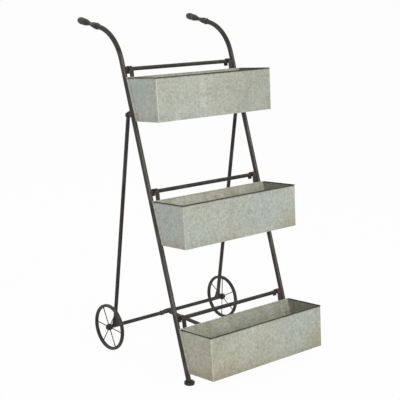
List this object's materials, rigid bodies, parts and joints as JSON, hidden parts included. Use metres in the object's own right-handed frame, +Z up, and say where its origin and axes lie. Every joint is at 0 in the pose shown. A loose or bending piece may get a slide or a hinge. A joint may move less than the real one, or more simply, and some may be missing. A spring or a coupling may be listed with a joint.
{
  "type": "flower cart stand",
  "caption": "Folding hand-cart stand for flowers: bent handle rails, spoked rear wheels and rectangular sheet-metal planters hung on cross bars.",
  "frame": {"origin": "centre of the overall box, on the floor", "axes": "+X along the cross bars to the right seen from the front, +Y from the planters in front to the wheels behind, +Z up"},
  "size_m": [0.53, 0.7006, 1.0925],
  "materials": {
    "frame_iron": "aged dark iron with rust tints at the joints",
    "turned_iron": "smooth aged dark iron",
    "wheel_iron": "aged dark iron",
    "edge_iron": "dark, slightly worn",
    "fastener_steel": "dulled steel",
    "galvanised_sheet": "weathered galvanised sheet, mottled"
  },
  "bodies": {
    "front_frame": {"left_rail": "frame_iron", "left_foot": "frame_iron", "left_ferrule": "turned_iron", "left_grip": "turned_iron", "left_pivot_bracket": "frame_iron", "left_pivot_bolt": "fastener_steel", "left_pivot_nut": "fastener_steel", "right_rail": "frame_iron", "right_foot": "frame_iron", "right_ferrule": "turned_iron", "right_grip": "turned_iron", "right_pivot_bracket": "frame_iron", "right_pivot_bolt": "fastener_steel", "right_pivot_nut": "fastener_steel", "top_cross_bar": "frame_iron", "middle_cross_bar": "frame_iron", "bottom_cross_bar": "frame_iron", "stay_cross_bar": "frame_iron", "stay_bar_collars": "frame_iron"},
    "rear_frame": {"left_leg": "frame_iron", "left_axle_stub": "fastener_steel", "left_hub_cap": "fastener_steel", "right_leg": "frame_iron", "right_axle_stub": "fastener_steel", "right_hub_cap": "fastener_steel", "axle_tube": "frame_iron", "axle_collars": "frame_iron"},
    "left_wheel": {"left_wheel_rim": "wheel_iron", "left_wheel_spokes": "wheel_iron", "left_wheel_hub": "wheel_iron"},
    "right_wheel": {"right_wheel_rim": "wheel_iron", "right_wheel_spokes": "wheel_iron", "right_wheel_hub": "wheel_iron"},
    "stay": {"stay_tube": "frame_iron", "stay_sleeve": "frame_iron", "stay_saddle": "frame_iron"},
    "top_planter": {"top_planter_box": "galvanised_sheet", "top_planter_rim": "edge_iron", "top_planter_hooks": "edge_iron", "top_planter_rivets": "fastener_steel"},
    "middle_planter": {"middle_planter_box": "galvanised_sheet", "middle_planter_rim": "edge_iron", "middle_planter_hooks": "edge_iron", "middle_planter_rivets": "fastener_steel"},
    "bottom_planter": {"bottom_planter_box": "galvanised_sheet", "bottom_planter_rim": "edge_iron", "bottom_planter_hooks": "edge_iron", "bottom_planter_rivets": "fastener_steel"}
  },
  "joints": [
    {"name": "leg_fold", "type": "hinge", "parent": "front_frame", "child": "rear_frame", "pos_m": [0, 0.0792, 0.80296], "axis": [-1, 0, 0], "range_deg": [0, 25]},
    {"name": "stay_lift", "type": "hinge", "parent": "front_frame", "child": "stay", "pos_m": [0, -0.20474, 0.078], "axis": [1, 0, 0], "range_deg": [0, 62.5]},
    {"name": "left_wheel_spin", "type": "hinge", "parent": "rear_frame", "child": "left_wheel", "pos_m": [-0.25275, 0.15989, 0.078], "axis": [1, 0, 0], "continuous": true},
    {"name": "right_wheel_spin", "type": "hinge", "parent": "rear_frame", "child": "right_wheel", "pos_m": [0.25275, 0.15989, 0.078], "axis": [1, 0, 0], "continuous": true},
    {"name": "top_planter_lift", "type": "slide", "parent": "front_frame", "child": "top_planter", "axis": [0, 0.1908, 0.9816], "range_m": [0, 0.03]},
    {"name": "middle_planter_lift", "type": "slide", "parent": "front_frame", "child": "middle_planter", "axis": [0, 0.1908, 0.9816], "range_m": [0, 0.03]},
    {"name": "bottom_planter_lift", "type": "slide", "parent": "front_frame", "child": "bottom_planter", "axis": [0, 0.1908, 0.9816], "range_m": [0, 0.03]}
  ],
  "couplings": [
    {"joint": "stay_lift", "follows": "leg_fold", "ratio": 2.5}
  ]
}
